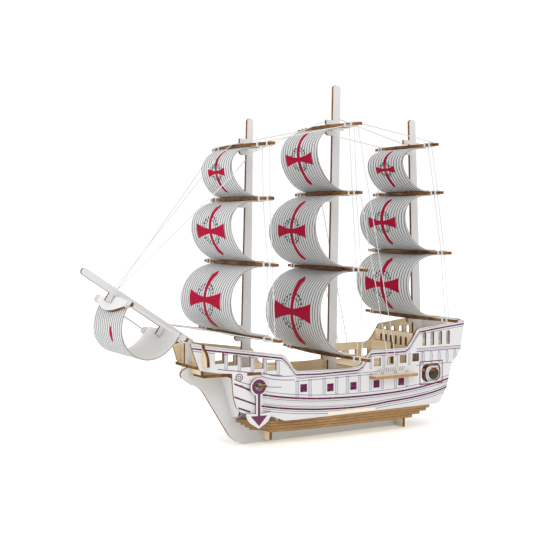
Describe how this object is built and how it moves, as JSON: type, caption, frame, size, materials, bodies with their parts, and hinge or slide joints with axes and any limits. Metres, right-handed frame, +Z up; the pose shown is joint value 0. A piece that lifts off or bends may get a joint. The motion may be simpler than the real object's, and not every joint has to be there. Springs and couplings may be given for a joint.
{
  "type": "slot-together plywood sailing ship model",
  "caption": "Three-masted sailing ship puzzle of slotted laser-cut plywood, with bent sails, thread rigging and two hanging anchors.",
  "frame": {"origin": "bottom edge of the keel plate in the centre plane, under the main mast's front edge", "axes": "+X towards the stern, +Y towards starboard, +Z up"},
  "size_m": [0.4346, 0.164, 0.3645],
  "materials": {
    "bare_ply": "raw birch plywood with scorched laser-cut edges",
    "pale_ply": "light grey face with scorched edges",
    "printed_ply": "white printed face with scorched edges",
    "sail_ply": "thin bent sheet with a printed front",
    "thread": "white cotton thread"
  },
  "bodies": {
    "ship": {"keel": "pale_ply", "bottom_layer_1": "bare_ply", "bottom_layer_2": "bare_ply", "bottom_layer_3": "bare_ply", "bottom_layer_4": "bare_ply", "front_frame": "bare_ply", "rear_frame": "bare_ply", "main_deck": "bare_ply", "forecastle_deck": "bare_ply", "beak_platform": "bare_ply", "quarter_deck": "bare_ply", "poop_deck": "bare_ply", "bow_bulkhead": "printed_ply", "forecastle_bulkhead": "bare_ply", "quarter_bulkhead": "bare_ply", "quarter_screen": "bare_ply", "poop_balustrade": "printed_ply", "upper_transom": "printed_ply", "lower_transom": "printed_ply", "port_side": "printed_ply", "starboard_side": "printed_ply", "port_bow_plate": "printed_ply", "starboard_bow_plate": "printed_ply", "channels": "bare_ply", "gallery_frames": "printed_ply", "anchor_hooks": "bare_ply", "bowsprit": "pale_ply", "sprit_yard_front": "bare_ply", "sprit_yard_rear": "bare_ply", "spritsail": "sail_ply", "fore_mast": "pale_ply", "main_mast": "pale_ply", "mizzen_mast": "pale_ply", "fore_yard_1": "bare_ply", "fore_yard_2": "bare_ply", "fore_yard_3": "bare_ply", "fore_yard_4": "bare_ply", "main_yard_1": "bare_ply", "main_yard_2": "bare_ply", "main_yard_3": "bare_ply", "main_yard_4": "bare_ply", "mizzen_yard_1": "bare_ply", "mizzen_yard_2": "bare_ply", "mizzen_yard_3": "bare_ply", "mizzen_yard_4": "bare_ply", "fore_sail_1": "sail_ply", "fore_sail_2": "sail_ply", "fore_sail_3": "sail_ply", "main_sail_1": "sail_ply", "main_sail_2": "sail_ply", "main_sail_3": "sail_ply", "mizzen_sail_1": "sail_ply", "mizzen_sail_2": "sail_ply", "mizzen_sail_3": "sail_ply", "fore_rigging": "thread", "main_rigging": "thread", "mizzen_rigging": "thread", "sprit_rigging": "thread"},
    "port_anchor": {"port_anchor": "printed_ply"},
    "starboard_anchor": {"starboard_anchor": "printed_ply"}
  },
  "joints": [
    {"name": "port_anchor_swing", "type": "hinge", "parent": "ship", "child": "port_anchor", "pos_m": [-0.1098, -0.02994, 0.062], "axis": [-0.1188, -0.9929, 0], "range_deg": [-90, 90]},
    {"name": "starboard_anchor_swing", "type": "hinge", "parent": "ship", "child": "starboard_anchor", "pos_m": [-0.1098, 0.02994, 0.062], "axis": [-0.1188, 0.9929, 0], "range_deg": [-90, 90]}
  ]
}
